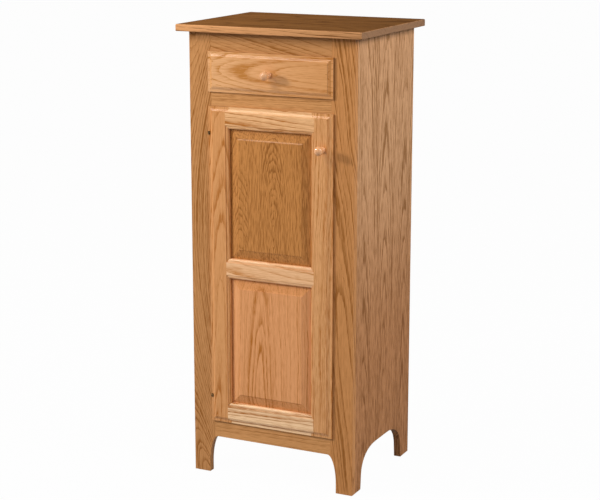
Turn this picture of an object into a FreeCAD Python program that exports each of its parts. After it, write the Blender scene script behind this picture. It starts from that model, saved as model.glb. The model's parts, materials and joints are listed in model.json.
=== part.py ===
# Oak pie safe: a narrow cupboard on cut-out feet, with one drawer over one panelled door.
# Millimetres. X runs to the right, Y to the back, Z up, and the front faces -Y.
# The origin is on the floor, at the middle of the whole object's footprint.
import FreeCAD, Part
import math
import os

# Case
HEIGHT = 1219.0
CASE_WIDTH = 472.0
CASE_DEPTH = 387.0
SIDE_THICKNESS = 19.0
SHELF_THICKNESS = 19.0
SHELF_COUNT = 2
SHELF_SETBACK = 15.0
SHELF_HOUSING = 6.0
BACK_THICKNESS = 6.0
BACK_RABBET = 10.0
BACK_RAIL_HEIGHT = 60.0
BACK_RAIL_THICKNESS = 19.0
BOARD_EASE = 1.5

# Top board
TOP_THICKNESS = 18.0
TOP_SIDE_OVERHANG = 28.0
TOP_FRONT_OVERHANG = 23.5
TOP_BACK_OVERHANG = 9.0
TOP_CORNER = 4.0
TOP_ROUND = 3.0
CLEAT_SIZE = 19.0
CLEAT_END_GAP = 12.0

# Face frame
FRAME_THICKNESS = 19.0
STILE_WIDTH = 64.0
TOP_RAIL_HEIGHT = 56.0
DRAWER_OPENING_HEIGHT = 91.5
MIDDLE_RAIL_HEIGHT = 50.5
BOTTOM_RAIL_HEIGHT = 53.0
FRAME_TENON_LENGTH = 22.0
FRAME_TENON_THICKNESS = 7.0
FRAME_TENON_SHOULDER = 8.0

# Feet
FOOT_HEIGHT = 104.5
FRONT_FOOT_WIDTH = 47.0
FRONT_CURVE_WIDTH = 25.0
FRONT_CURVE_HEIGHT = 80.0
SIDE_FOOT_WIDTH = 55.0
SIDE_FOOT_TAPER = 3.0
SIDE_CURVE_WIDTH = 98.0
SIDE_CURVE_HEIGHT = 74.0
ROUND_PULL = 0.5523
SIDE_RISE_PULL = 0.58
SIDE_RUN_PULL = 0.69

# Door and drawer front: rabbeted at the back, so that they sit partly in their openings while a
# lip laps over the frame, and moulded round the front of that lip
FRONT_THICKNESS = 19.0
FRONT_RABBET = 11.0
FRONT_GAP = 1.6
FRONT_LAP = 6.5
FRONT_PLAY = 3.0
EDGE_WIDTH = 14.0
EDGE_STEP = 0.8
LIP_FLAT = 4.0
LIP_DROP = 4.6

# Door frame and raised panels
DOOR_STILE_FACE = 51.0
DOOR_RAIL_FACE = 47.5
DOOR_MIDDLE_FACE = 35.0
STICKING_STEP = 1.8
STICKING_FLAT = 3.5
STICKING_ROUND = 6.0
GROOVE_DEPTH = 9.0
GROOVE_FROM_FACE = 11.5
GROOVE_WIDTH = 5.0
PANEL_PLAY = 1.0
FIELD_FROM_FACE = 3.6
FIELD_STEP = 1.6
FIELD_RAMP = 3.0
BEVEL_WIDTH = 24.0

# Turned knobs
KNOB_RADIUS = 12.0
KNOB_PROJECTION = 36.0
KNOB_WIDEST = 28.0
KNOB_NECK_RADIUS = 5.0
KNOB_BASE_RADIUS = 8.0
KNOB_BASE_RIM = 1.6
KNOB_THROAT = 6.2
KNOB_CHEEK_SHARE = 0.45
KNOB_CHEEK_RADIUS = 11.0
KNOB_SCREW_RADIUS = 2.0
KNOB_SCREW_BITE = 12.0
DOOR_KNOB_INSET = 26.5
DOOR_KNOB_DROP = 91.0

# Hinges
HINGE_FROM_END = 71.0
LEAF_THICKNESS = 1.2
LEAF_HEIGHT = 44.0
DOOR_LEAF_REACH = 37.0
FRAME_LEAF_DEPTH = 17.0
PIN_INSET = 1.0
PIN_FROM_FRAME = 5.0
PIN_RADIUS = 1.2
PIN_HEAD_RADIUS = 2.0
PIN_HEAD_HEIGHT = 0.5
PIN_PLAY = 0.05
KNUCKLE_RADIUS = 3.0
KNUCKLE_HEIGHT = 7.6
KNUCKLE_GAP = 0.2
NOTCH_SIDE_PLAY = 1.1
NOTCH_END_PLAY = 0.5
HINGE_ARM_WIDTH = 2.4
HINGE_SCREW_SPREAD = 28.0
DOOR_LEAF_SCREW_REACH = 26.0
FRAME_LEAF_SCREW_DEPTH = 13.0
HINGE_SCREW_LENGTH = 12.0

# Drawer box and what it runs on
DRAWER_REAR_ROOM = 14.0
DRAWER_TRAVEL = 250.0
DRAWER_WALL = 12.0
DRAWER_BOX_HEIGHT = 82.0
DRAWER_BOTTOM_THICKNESS = 5.0
DRAWER_BOTTOM_RISE = 8.0
DRAWER_HOUSING = 4.0
DRAWER_SIDE_PLAY = 2.0
DRAWER_RUN_PLAY = 0.3
FRONT_SCREW_INSET = 47.0
FRONT_SCREW_SPREAD = 44.0
GUIDE_PLAY = 1.0
GUIDE_WIDTH = 19.0
GUIDE_HEIGHT = 25.0
KICKER_WIDTH = 40.0
KICKER_HEIGHT = 20.0
KICKER_PLAY = 1.2
STOP_THICKNESS = 12.0
STOP_DROP = 15.0
STOP_PLAY = 0.5

# Magnetic catch
CATCH_INSET = 92.0
CATCH_WIDTH = 40.0
CATCH_HEIGHT = 16.0
CATCH_DEPTH = 15.0
CATCH_SETBACK = 2.8
CATCH_LINE_DROP = 9.0
CATCH_EAR_LENGTH = 10.0
CATCH_EAR_THICKNESS = 2.5
KEEPER_THICKNESS = 1.5
KEEPER_WIDTH = 28.0
KEEPER_SPACING = 6.5
KEEPER_DEPTH = 12.0
STRIKE_THICKNESS = 1.2
STRIKE_HEIGHT = 11.0
STRIKE_PLAY = 0.4

# Fasteners and pads
FASTENER_PLAY = 0.05
HEAD_RIM_SHARE = 0.3
POINT_LENGTH_SHARE = 2.0
POINT_WIDTH_SHARE = 0.2
SLOT_WIDTH_SHARE = 0.16
SLOT_REACH_SHARE = 0.6
SLOT_DEPTH_SHARE = 0.45
TOP_SCREW_SHARES = (0.15, 0.5, 0.85)
CLEAT_SCREW_SHARES = (0.25, 0.75)
GUIDE_SCREW_SHARES = (0.2, 0.8)
SCREW_RADIUS = 1.9
SCREW_HEAD_RADIUS = 3.8
SCREW_HEAD_RISE = 2.2
SMALL_SCREW_RADIUS = 1.3
SMALL_HEAD_RADIUS = 2.4
SMALL_HEAD_RISE = 0.6
SCREW_BITE = 12.0
NAIL_RADIUS = 0.9
NAIL_HEAD_RADIUS = 2.4
NAIL_HEAD_RISE = 0.8
NAIL_LENGTH = 22.0
NAILS_PER_SIDE = 6
NAILS_PER_RAIL = 3
BUMPER_RADIUS = 2.5
BUMPER_PLAY = 0.3
BUMPER_FROM_END = 30.0
OVERCUT = 1.0
SAME_PLACE = 0.01

# Heights of the case, from the floor up
CASE_TOP = HEIGHT - TOP_THICKNESS
DRAWER_OPENING_TOP = CASE_TOP - TOP_RAIL_HEIGHT
DRAWER_OPENING_BOTTOM = DRAWER_OPENING_TOP - DRAWER_OPENING_HEIGHT
DOOR_OPENING_TOP = DRAWER_OPENING_BOTTOM - MIDDLE_RAIL_HEIGHT
DOOR_OPENING_BOTTOM = FOOT_HEIGHT + BOTTOM_RAIL_HEIGHT

# Half widths of the case, from the middle out
CASE_HALF = CASE_WIDTH / 2
INNER_HALF = CASE_HALF - SIDE_THICKNESS
OPENING_HALF = CASE_HALF - STILE_WIDTH
FRONT_HALF = OPENING_HALF + FRONT_LAP
INSET_HALF = OPENING_HALF - FRONT_PLAY
TOP_HALF = CASE_HALF + TOP_SIDE_OVERHANG

# Depths, from the knobs to the back edge of the top
LIP_THICKNESS = FRONT_THICKNESS - FRONT_RABBET
FRONT_REACH = max(TOP_FRONT_OVERHANG, FRONT_GAP + LIP_THICKNESS + KNOB_PROJECTION)
FRAME_FRONT = (FRONT_REACH - CASE_DEPTH - TOP_BACK_OVERHANG) / 2
FRAME_BACK = FRAME_FRONT + FRAME_THICKNESS
CASE_BACK = FRAME_FRONT + CASE_DEPTH
BACK_FACE = CASE_BACK - BACK_THICKNESS
BACK_RAIL_FACE = BACK_FACE - BACK_RAIL_THICKNESS
LIP_REAR = FRAME_FRONT - FRONT_GAP
FRONT_FACE = LIP_REAR - LIP_THICKNESS
FRONT_REAR = FRONT_FACE + FRONT_THICKNESS

# Door outline and the lines where its mouldings start
DOOR_TOP = DOOR_OPENING_TOP + FRONT_LAP
DOOR_BOTTOM = DOOR_OPENING_BOTTOM - FRONT_LAP
DOOR_MIDDLE = (DOOR_TOP + DOOR_BOTTOM) / 2
DOOR_STILE_ARRIS = FRONT_HALF - DOOR_STILE_FACE
TOP_RAIL_ARRIS = DOOR_TOP - DOOR_RAIL_FACE
BOTTOM_RAIL_ARRIS = DOOR_BOTTOM + DOOR_RAIL_FACE
MIDDLE_RAIL_UPPER = DOOR_MIDDLE + DOOR_MIDDLE_FACE / 2
MIDDLE_RAIL_LOWER = DOOR_MIDDLE - DOOR_MIDDLE_FACE / 2
STICKING_WIDTH = STICKING_FLAT + STICKING_ROUND
WINDOW_HALF = DOOR_STILE_ARRIS - STICKING_WIDTH

# Drawer outline
DRAWER_FRONT_TOP = DRAWER_OPENING_TOP + FRONT_LAP
DRAWER_FRONT_BOTTOM = DRAWER_OPENING_BOTTOM - FRONT_LAP
DRAWER_FRONT_MIDDLE = (DRAWER_FRONT_TOP + DRAWER_FRONT_BOTTOM) / 2
BOX_HALF = OPENING_HALF - DRAWER_SIDE_PLAY
BOX_INNER_HALF = BOX_HALF - DRAWER_WALL
BOX_BOTTOM = DRAWER_OPENING_BOTTOM + DRAWER_RUN_PLAY
BOX_TOP = BOX_BOTTOM + DRAWER_BOX_HEIGHT
BOX_END = BACK_RAIL_FACE - DRAWER_REAR_ROOM
BOX_FLOOR = BOX_BOTTOM + DRAWER_BOTTOM_RISE + DRAWER_BOTTOM_THICKNESS
KICKER_BOTTOM = BOX_TOP + KICKER_PLAY
STOP_BACK = BOX_END - DRAWER_WALL - DRAWER_TRAVEL - STOP_PLAY

# Middle of the catch and of its strike plate, on the knob's side of the door, and their height
CATCH_MIDDLE = OPENING_HALF - CATCH_INSET
CATCH_LINE = DOOR_OPENING_TOP - CATCH_LINE_DROP
CATCH_FRONT = FRONT_REAR + CATCH_SETBACK

# Hinge pin axis, and the middle height of each hinge
PIN_X = PIN_INSET - FRONT_HALF
PIN_Y = FRAME_FRONT - PIN_FROM_FRAME
ARM_HALF = HINGE_ARM_WIDTH / 2
HINGE_HEIGHTS = {"lower": DOOR_BOTTOM + HINGE_FROM_END, "upper": DOOR_TOP - HINGE_FROM_END}

SIDES = {"left": -1, "right": 1}
LEFTWARD = FreeCAD.Vector(-1, 0, 0)
FORWARD = FreeCAD.Vector(0, -1, 0)
UPWARD = FreeCAD.Vector(0, 0, 1)
DOWNWARD = FreeCAD.Vector(0, 0, -1)


def box(x_from, x_to, y_from, y_to, z_from, z_to):
    """A rectangular board between two corners, given in either order."""
    corner = FreeCAD.Vector(min(x_from, x_to), min(y_from, y_to), min(z_from, z_to))
    return Part.makeBox(abs(x_to - x_from), abs(y_to - y_from), abs(z_to - z_from), corner)


def edges_at(shape, x=None, y=None, z=None):
    """The edges of a shape that lie wholly at the given coordinates."""
    found = []
    for edge in shape.Edges:
        limits = edge.BoundBox
        spans = [
            (x, limits.XMin, limits.XMax),
            (y, limits.YMin, limits.YMax),
            (z, limits.ZMin, limits.ZMax),
        ]
        asked = [span for span in spans if span[0] is not None]
        if all(abs(low - want) + abs(high - want) < SAME_PLACE for want, low, high in asked):
            found.append(edge)
    return found


def eased(board, radius, **place):
    """Round the edges of a board that lie at one place."""
    return board.makeFillet(radius, edges_at(board, **place))


def cut_all(shape, tools):
    """Cut every tool out of a shape."""
    for tool in tools:
        shape = shape.cut(tool)
    return shape


def solid_of_outline(edges, run):
    """Push a closed outline along a straight run."""
    return Part.Face(Part.Wire(Part.__sortEdges__(edges))).extrude(run)


def line(start, end):
    """A straight edge."""
    return Part.LineSegment(start, end).toShape()


def swept_corner(start, corner, end, start_pull, end_pull):
    """A smooth curve from start to end that leans on the corner between them."""
    curve = Part.BezierCurve()
    curve.setPoles([start, start + (corner - start) * start_pull, end + (corner - end) * end_pull, end])
    return curve.toShape()


def placed(shape, point, direction):
    """Put a shape that was made along +Z at a point, along a direction."""
    shape.Placement = FreeCAD.Placement(point, FreeCAD.Rotation(UPWARD, direction))
    return shape


def turned(outline):
    """A solid turned about Z from an outline of edges in the XZ plane."""
    return Part.Face(Part.Wire(outline)).revolve(FreeCAD.Vector(), UPWARD, 360)


def round_headed(length, shank, head, rise):
    """A pointed shank along +Z with a rounded head, whose underside is at the origin."""
    rim = FreeCAD.Vector(head, 0, -HEAD_RIM_SHARE * rise)
    crown = FreeCAD.Vector(0, 0, -rise)
    brow = FreeCAD.Vector(head, 0, -rise)
    corners = [
        rim,
        FreeCAD.Vector(head, 0, 0),
        FreeCAD.Vector(shank, 0, 0),
        FreeCAD.Vector(shank, 0, length - POINT_LENGTH_SHARE * shank),
        FreeCAD.Vector(POINT_WIDTH_SHARE * shank, 0, length),
        FreeCAD.Vector(0, 0, length),
        crown,
    ]
    outline = [line(start, end) for start, end in zip(corners, corners[1:])]
    outline.append(swept_corner(crown, brow, rim, ROUND_PULL, ROUND_PULL))
    return turned(outline)


def nail(point, direction):
    """A nail of the back panel: point is under its head."""
    return placed(round_headed(NAIL_LENGTH, NAIL_RADIUS, NAIL_HEAD_RADIUS, NAIL_HEAD_RISE), point, direction)


def screw(point, direction, length, shank, head, rise):
    """A screw with a cross slot in its head: point is under its head."""
    slot = SLOT_WIDTH_SHARE * head
    reach = SLOT_REACH_SHARE * head
    deep = -SLOT_DEPTH_SHARE * rise
    cross = [
        box(-reach, reach, -slot, slot, -rise - OVERCUT, deep),
        box(-slot, slot, -reach, reach, -rise - OVERCUT, deep),
    ]
    return placed(cut_all(round_headed(length, shank, head, rise), cross), point, direction)


def hole(point, direction, depth, shank):
    """The hole that a screw of that shank needs."""
    return placed(Part.makeCylinder(shank + FASTENER_PLAY, depth), point, direction)


def wood_screw(length):
    """A full-size screw of one length, as a maker of screws at places."""
    return lambda place: screw(*place, length, SCREW_RADIUS, SCREW_HEAD_RADIUS, SCREW_HEAD_RISE)


def small_screw(length):
    """A small hardware screw of one length, as a maker of screws at places."""
    return lambda place: screw(*place, length, SMALL_SCREW_RADIUS, SMALL_HEAD_RADIUS, SMALL_HEAD_RISE)


def group(maker, places):
    """Identical loose pieces that share one node."""
    return Part.makeCompound([maker(place) for place in places])


def holes(places, depth, shank):
    """The holes for screws at a list of places."""
    return [hole(*place, depth, shank) for place in places]


# Where the fasteners go: each place is a point under the head and a direction
def top_screw_places():
    """Screws up through both cleats into the top board."""
    across = INNER_HALF - CLEAT_SIZE / 2
    run = BACK_RAIL_FACE - FRAME_BACK
    depths = [FRAME_BACK + run * share for share in TOP_SCREW_SHARES]
    height = CASE_TOP - CLEAT_SIZE
    return [
        (FreeCAD.Vector(sign * across, depth, height), UPWARD)
        for sign in SIDES.values()
        for depth in depths
    ]


def cleat_screw_places(sign):
    """Screws through one cleat into its side board."""
    run = BACK_RAIL_FACE - FRAME_BACK
    across = sign * (INNER_HALF - CLEAT_SIZE)
    height = CASE_TOP - CLEAT_SIZE / 2
    return [
        (FreeCAD.Vector(across, FRAME_BACK + run * share, height), LEFTWARD * -sign)
        for share in CLEAT_SCREW_SHARES
    ]


def guide_screw_places(sign):
    """Screws down through one drawer guide into the deck."""
    across = BOX_HALF + GUIDE_PLAY + GUIDE_WIDTH / 2
    run = BACK_RAIL_FACE - FRAME_BACK
    height = DRAWER_OPENING_BOTTOM + GUIDE_HEIGHT
    return [
        (FreeCAD.Vector(sign * across, FRAME_BACK + run * share, height), DOWNWARD)
        for share in GUIDE_SCREW_SHARES
    ]


def back_nail_places():
    """Nails through the back panel into the sides, the floor and the back rail."""
    across = INNER_HALF + BACK_RABBET / 2
    step = (CASE_TOP - FOOT_HEIGHT) / NAILS_PER_SIDE
    places = []
    for sign in SIDES.values():
        for index in range(NAILS_PER_SIDE):
            height = FOOT_HEIGHT + step * (index + 0.5)
            places.append((FreeCAD.Vector(sign * across, CASE_BACK, height), FORWARD))
    for height in (DOOR_OPENING_BOTTOM - SHELF_THICKNESS / 2, CASE_TOP - BACK_RAIL_HEIGHT / 2):
        for index in range(NAILS_PER_RAIL):
            place = INNER_HALF * (2 * (index + 0.5) / NAILS_PER_RAIL - 1)
            places.append((FreeCAD.Vector(place, CASE_BACK, height), FORWARD))
    return places


def frame_leaf_screw_places(height):
    """Screws through the frame leaf into the inner edge of the left stile."""
    depth = FRAME_FRONT + FRAME_LEAF_SCREW_DEPTH
    face = LEAF_THICKNESS - OPENING_HALF
    return [
        (FreeCAD.Vector(face, depth, height + sign * HINGE_SCREW_SPREAD / 2), LEFTWARD)
        for sign in SIDES.values()
    ]


def door_leaf_screw_places(height):
    """Screws through the door leaf into the back of the hinge stile."""
    across = PIN_X + DOOR_LEAF_SCREW_REACH
    return [
        (FreeCAD.Vector(across, FRONT_REAR, height + sign * HINGE_SCREW_SPREAD / 2), FORWARD)
        for sign in SIDES.values()
    ]


def drawer_front_screw_places():
    """Screws from inside the drawer box into the drawer front."""
    across = BOX_INNER_HALF - FRONT_SCREW_INSET
    spread = FRONT_SCREW_SPREAD / 2
    middle = (BOX_FLOOR + BOX_TOP) / 2
    return [
        (FreeCAD.Vector(side * across, FRONT_REAR + DRAWER_WALL, middle + level * spread), FORWARD)
        for side in SIDES.values()
        for level in SIDES.values()
    ]


def door_knob_place():
    """The door knob's screw, from the back of the knob stile."""
    across = FRONT_HALF - DOOR_KNOB_INSET
    return FreeCAD.Vector(across, FRONT_REAR, DOOR_TOP - DOOR_KNOB_DROP), FORWARD


def drawer_knob_place():
    """The drawer knob's screw, from inside the drawer box."""
    return FreeCAD.Vector(0, FRONT_REAR + DRAWER_WALL, DRAWER_FRONT_MIDDLE), FORWARD


def catch_screw_places():
    """Screws up through the catch's ears into the middle rail."""
    spread = (CATCH_WIDTH + CATCH_EAR_LENGTH) / 2
    depth = (CATCH_FRONT + FRAME_BACK) / 2
    height = DOOR_OPENING_TOP - CATCH_EAR_THICKNESS
    return [
        (FreeCAD.Vector(CATCH_MIDDLE + sign * spread, depth, height), UPWARD)
        for sign in SIDES.values()
    ]


def strike_screw_place():
    """The one screw of the strike plate, into the back of the door's top rail."""
    return FreeCAD.Vector(CATCH_MIDDLE, FRONT_REAR + STRIKE_THICKNESS, CATCH_LINE), FORWARD


# Case
def top_board():
    """The overhanging top, with a rounded upper edge."""
    front = FRAME_FRONT - TOP_FRONT_OVERHANG
    board = box(-TOP_HALF, TOP_HALF, front, CASE_BACK + TOP_BACK_OVERHANG, CASE_TOP, HEIGHT)
    upright = [edge for edge in board.Edges if edge.BoundBox.ZLength > TOP_THICKNESS / 2]
    board = board.makeFillet(TOP_CORNER, upright)
    board = eased(board, TOP_ROUND, z=HEIGHT)
    board = eased(board, BOARD_EASE, z=CASE_TOP)
    return cut_all(board, holes(top_screw_places(), CLEAT_SIZE + SCREW_BITE, SCREW_RADIUS))


def side_cutout():
    """The space between the front and back feet of the sides, seen from the side."""
    def point(from_end, height, end):
        """A point at a distance in from the front end (-1) or the back end (1)."""
        middle = (FRAME_FRONT + CASE_BACK) / 2
        return FreeCAD.Vector(-CASE_HALF - OVERCUT, middle + end * (CASE_DEPTH / 2 - from_end), height)

    bend = FOOT_HEIGHT - SIDE_CURVE_HEIGHT
    ankle = SIDE_FOOT_WIDTH + SIDE_FOOT_TAPER
    edges = []
    for end in SIDES.values():
        low = point(SIDE_FOOT_WIDTH, -OVERCUT, end)
        start = point(ankle, bend, end)
        corner = point(ankle, FOOT_HEIGHT, end)
        high = point(ankle + SIDE_CURVE_WIDTH, FOOT_HEIGHT, end)
        edges.append(line(low, start))
        edges.append(swept_corner(start, corner, high, SIDE_RISE_PULL, SIDE_RUN_PULL))
    edges.append(line(point(ankle + SIDE_CURVE_WIDTH, FOOT_HEIGHT, -1), high))
    edges.append(line(point(SIDE_FOOT_WIDTH, -OVERCUT, -1), low))
    return solid_of_outline(edges, FreeCAD.Vector(CASE_WIDTH + 2 * OVERCUT, 0, 0))


def front_cutout():
    """The space between the two front feet, seen from the front."""
    bend = FOOT_HEIGHT - FRONT_CURVE_HEIGHT
    foot = CASE_HALF - FRONT_FOOT_WIDTH
    near = FRAME_FRONT - OVERCUT
    edges = []
    for sign in SIDES.values():
        low = FreeCAD.Vector(sign * foot, near, -OVERCUT)
        start = FreeCAD.Vector(sign * foot, near, bend)
        corner = FreeCAD.Vector(sign * foot, near, FOOT_HEIGHT)
        high = FreeCAD.Vector(sign * (foot - FRONT_CURVE_WIDTH), near, FOOT_HEIGHT)
        edges.append(line(low, start))
        edges.append(swept_corner(start, corner, high, ROUND_PULL, ROUND_PULL))
    edges.append(line(FreeCAD.Vector(FRONT_CURVE_WIDTH - foot, near, FOOT_HEIGHT), high))
    edges.append(line(FreeCAD.Vector(-foot, near, -OVERCUT), low))
    return solid_of_outline(edges, FreeCAD.Vector(0, FRAME_THICKNESS + 2 * OVERCUT, 0))


def housed_board(top, front):
    """A board between the sides, let into both of them."""
    half = INNER_HALF + SHELF_HOUSING
    return box(-half, half, front, BACK_FACE, top - SHELF_THICKNESS, top)


def nailed(board):
    """A board with the holes of the back panel's nails."""
    return cut_all(board, holes(back_nail_places(), NAIL_LENGTH, NAIL_RADIUS))


def cabinet_floor():
    """The floor of the cupboard, level with the bottom rail."""
    return nailed(housed_board(DOOR_OPENING_BOTTOM, FRAME_BACK))


def drawer_deck():
    """The board that the drawer slides on, level with the middle rail."""
    board = housed_board(DRAWER_OPENING_BOTTOM, FRAME_BACK)
    depth = GUIDE_HEIGHT + SCREW_BITE
    places = guide_screw_places(-1) + guide_screw_places(1)
    return nailed(cut_all(board, holes(places, depth, SCREW_RADIUS)))


def shelf_boards():
    """The shelves before they are nailed, evenly spaced up from the floor to the deck."""
    clear = DRAWER_OPENING_BOTTOM - SHELF_THICKNESS - DOOR_OPENING_BOTTOM
    space = (clear - SHELF_COUNT * SHELF_THICKNESS) / (SHELF_COUNT + 1)
    boards = []
    for index in range(SHELF_COUNT):
        top = DOOR_OPENING_BOTTOM + (space + SHELF_THICKNESS) * (index + 1)
        front = FRAME_BACK + SHELF_SETBACK
        boards.append(eased(housed_board(top, front), BOARD_EASE, y=front, z=top))
    return boards


def back_rail_board():
    """The rail behind the drawer that ties the sides and carries the kicker."""
    half = INNER_HALF + SHELF_HOUSING
    return box(-half, half, BACK_RAIL_FACE, BACK_FACE, CASE_TOP - BACK_RAIL_HEIGHT, CASE_TOP)


def back_panel_board():
    """The thin back, set in rabbets in the sides."""
    half = INNER_HALF + BACK_RABBET
    return box(-half, half, BACK_FACE, CASE_BACK, FOOT_HEIGHT, CASE_TOP)


def side_board(sign):
    """One side of the case, with its two feet and the housings for what it carries."""
    outer = sign * CASE_HALF
    board = box(outer, sign * INNER_HALF, FRAME_BACK, CASE_BACK, 0, CASE_TOP)
    board = eased(board, BOARD_EASE, x=outer, y=CASE_BACK)
    carried = [
        housed_board(DOOR_OPENING_BOTTOM, FRAME_BACK),
        housed_board(DRAWER_OPENING_BOTTOM, FRAME_BACK),
        back_rail_board(),
        back_panel_board(),
    ]
    board = cut_all(board, [side_cutout()] + carried + shelf_boards())
    drilled = holes(cleat_screw_places(sign), CLEAT_SIZE + SCREW_BITE, SCREW_RADIUS)
    return nailed(cut_all(board, drilled))


def top_cleat(sign):
    """The strip inside the top of one side that holds the top board down."""
    inner = sign * (INNER_HALF - CLEAT_SIZE)
    front = FRAME_BACK + CLEAT_END_GAP
    back = BACK_RAIL_FACE - CLEAT_END_GAP
    strip = box(inner, sign * INNER_HALF, front, back, CASE_TOP - CLEAT_SIZE, CASE_TOP)
    places = top_screw_places() + cleat_screw_places(sign)
    return cut_all(strip, holes(places, CLEAT_SIZE + SCREW_BITE, SCREW_RADIUS))


# Face frame
def frame_rail(bottom, top, drop=0.0):
    """A rail between the stiles, with a tenon at each end. It may reach lower than its line."""
    rail = box(-OPENING_HALF, OPENING_HALF, FRAME_FRONT, FRAME_BACK, bottom - drop, top)
    half = OPENING_HALF + FRAME_TENON_LENGTH
    cheek = (FRAME_THICKNESS - FRAME_TENON_THICKNESS) / 2
    low = bottom + FRAME_TENON_SHOULDER
    high = top - FRAME_TENON_SHOULDER
    return rail.fuse(box(-half, half, FRAME_FRONT + cheek, FRAME_BACK - cheek, low, high)).removeSplitter()


def frame_top_rail():
    """The rail over the drawer."""
    return frame_rail(DRAWER_OPENING_TOP, CASE_TOP)


def frame_middle_rail():
    """The rail between the drawer and the door, which carries the catch."""
    rail = frame_rail(DOOR_OPENING_TOP, DRAWER_OPENING_BOTTOM)
    depth = CATCH_EAR_THICKNESS + SCREW_BITE
    return cut_all(rail, holes(catch_screw_places(), depth, SMALL_SCREW_RADIUS))


def frame_bottom_rail():
    """The rail under the door, whose ends run down into the curve of the feet."""
    rail = frame_rail(FOOT_HEIGHT, DOOR_OPENING_BOTTOM, drop=FRAME_TENON_SHOULDER)
    return rail.cut(front_cutout())


def frame_stile(sign):
    """One stile of the face frame, which runs down to the floor as a front foot."""
    outer = sign * CASE_HALF
    stile = box(outer, sign * OPENING_HALF, FRAME_FRONT, FRAME_BACK, 0, CASE_TOP)
    stile = eased(stile, BOARD_EASE, x=outer, y=FRAME_FRONT)
    mortised = [front_cutout(), frame_top_rail(), frame_middle_rail(), frame_bottom_rail()]
    stile = cut_all(stile, mortised)
    if sign < 0:
        for height in HINGE_HEIGHTS.values():
            drilled = holes(frame_leaf_screw_places(height), HINGE_SCREW_LENGTH, SMALL_SCREW_RADIUS)
            stile = cut_all(stile, drilled)
    return stile


# Mouldings of the door and the drawer front
def ogee_waste(place, run):
    """What the router takes off one outer edge. place turns (in from the edge, back from the face)
    into a point, and run is the length of the cut."""
    shoulder = (EDGE_WIDTH, EDGE_STEP)
    lip = (LIP_FLAT, LIP_DROP)
    turn = ((EDGE_WIDTH + LIP_FLAT) / 2, (EDGE_STEP + LIP_DROP) / 2)
    across = shoulder[0] - turn[0]
    down = turn[1] - shoulder[1]
    slope = math.atan2(down, across)
    radius = math.hypot(across, down) / (2 * math.sin(slope))
    swing = radius * math.sin(slope)
    sag = radius * (1 - math.cos(slope))
    round_middle = (shoulder[0] - swing, shoulder[1] + sag)
    hollow_middle = (lip[0] + swing, lip[1] - sag)
    front = -OVERCUT
    edges = [
        line(place(EDGE_WIDTH, front), place(*shoulder)),
        Part.Arc(place(*shoulder), place(*round_middle), place(*turn)).toShape(),
        Part.Arc(place(*turn), place(*hollow_middle), place(*lip)).toShape(),
        line(place(*lip), place(-OVERCUT, LIP_DROP)),
        line(place(-OVERCUT, LIP_DROP), place(-OVERCUT, front)),
        line(place(-OVERCUT, front), place(EDGE_WIDTH, front)),
    ]
    return solid_of_outline(edges, run)


def rabbet_waste(bottom, top):
    """The frame of wood that is cut away behind the lip of a front, between two heights."""
    beyond = FRONT_HALF + OVERCUT
    back = FRONT_REAR + OVERCUT
    inset = FRONT_LAP + FRONT_PLAY
    block = box(-beyond, beyond, LIP_REAR, back, bottom - OVERCUT, top + OVERCUT)
    return block.cut(box(-INSET_HALF, INSET_HALF, LIP_REAR, back, bottom + inset, top - inset))


def moulded_edge(bottom, top):
    """The cuts that rabbet and mould the outer edge of a front of full width, between two heights."""
    along = FreeCAD.Vector(2 * (FRONT_HALF + OVERCUT), 0, 0)
    upward = FreeCAD.Vector(0, 0, top - bottom + 2 * OVERCUT)
    west = -FRONT_HALF - OVERCUT
    low = bottom - OVERCUT
    return [
        ogee_waste(lambda s, t: FreeCAD.Vector(west, FRONT_FACE + t, top - s), along),
        ogee_waste(lambda s, t: FreeCAD.Vector(west, FRONT_FACE + t, bottom + s), along),
        ogee_waste(lambda s, t: FreeCAD.Vector(s - FRONT_HALF, FRONT_FACE + t, low), upward),
        ogee_waste(lambda s, t: FreeCAD.Vector(FRONT_HALF - s, FRONT_FACE + t, low), upward),
        rabbet_waste(bottom, top),
    ]


def sticking_waste(place, run):
    """What is cut off the inner edge of a door stile or rail, in front of its groove."""
    bend = STICKING_ROUND * (1 - math.sqrt(0.5))
    deep = STICKING_STEP + STICKING_ROUND
    beyond = STICKING_WIDTH + OVERCUT
    front = -OVERCUT
    start = place(STICKING_FLAT, STICKING_STEP)
    middle = place(STICKING_WIDTH - bend, STICKING_STEP + bend)
    end = place(STICKING_WIDTH, deep)
    edges = [
        line(place(0, front), place(0, STICKING_STEP)),
        line(place(0, STICKING_STEP), start),
        Part.Arc(start, middle, end).toShape(),
        line(end, place(beyond, deep)),
        line(place(beyond, deep), place(beyond, front)),
        line(place(beyond, front), place(0, front)),
    ]
    return solid_of_outline(edges, run)


# Door
def door_groove(x_from, x_to, z_from, z_to):
    """A groove or a tongue in the thickness of the door, where the panels sit."""
    front = FRONT_FACE + GROOVE_FROM_FACE
    return box(x_from, x_to, front, front + GROOVE_WIDTH, z_from, z_to)


def door_stile(sign):
    """One stile of the door: moulded outer edge, sticking and panel groove on the inner edge."""
    board = box(sign * FRONT_HALF, sign * WINDOW_HALF, FRONT_FACE, FRONT_REAR, DOOR_BOTTOM, DOOR_TOP)
    length = FreeCAD.Vector(0, 0, DOOR_TOP - DOOR_BOTTOM)

    def inner_edge(s, t):
        return FreeCAD.Vector(sign * (DOOR_STILE_ARRIS - s), FRONT_FACE + t, DOOR_BOTTOM)

    groove = door_groove(sign * WINDOW_HALF, sign * (WINDOW_HALF + GROOVE_DEPTH), DOOR_BOTTOM, DOOR_TOP)
    cuts = [sticking_waste(inner_edge, length), groove] + moulded_edge(DOOR_BOTTOM, DOOR_TOP)
    return cut_all(board, cuts)


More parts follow.
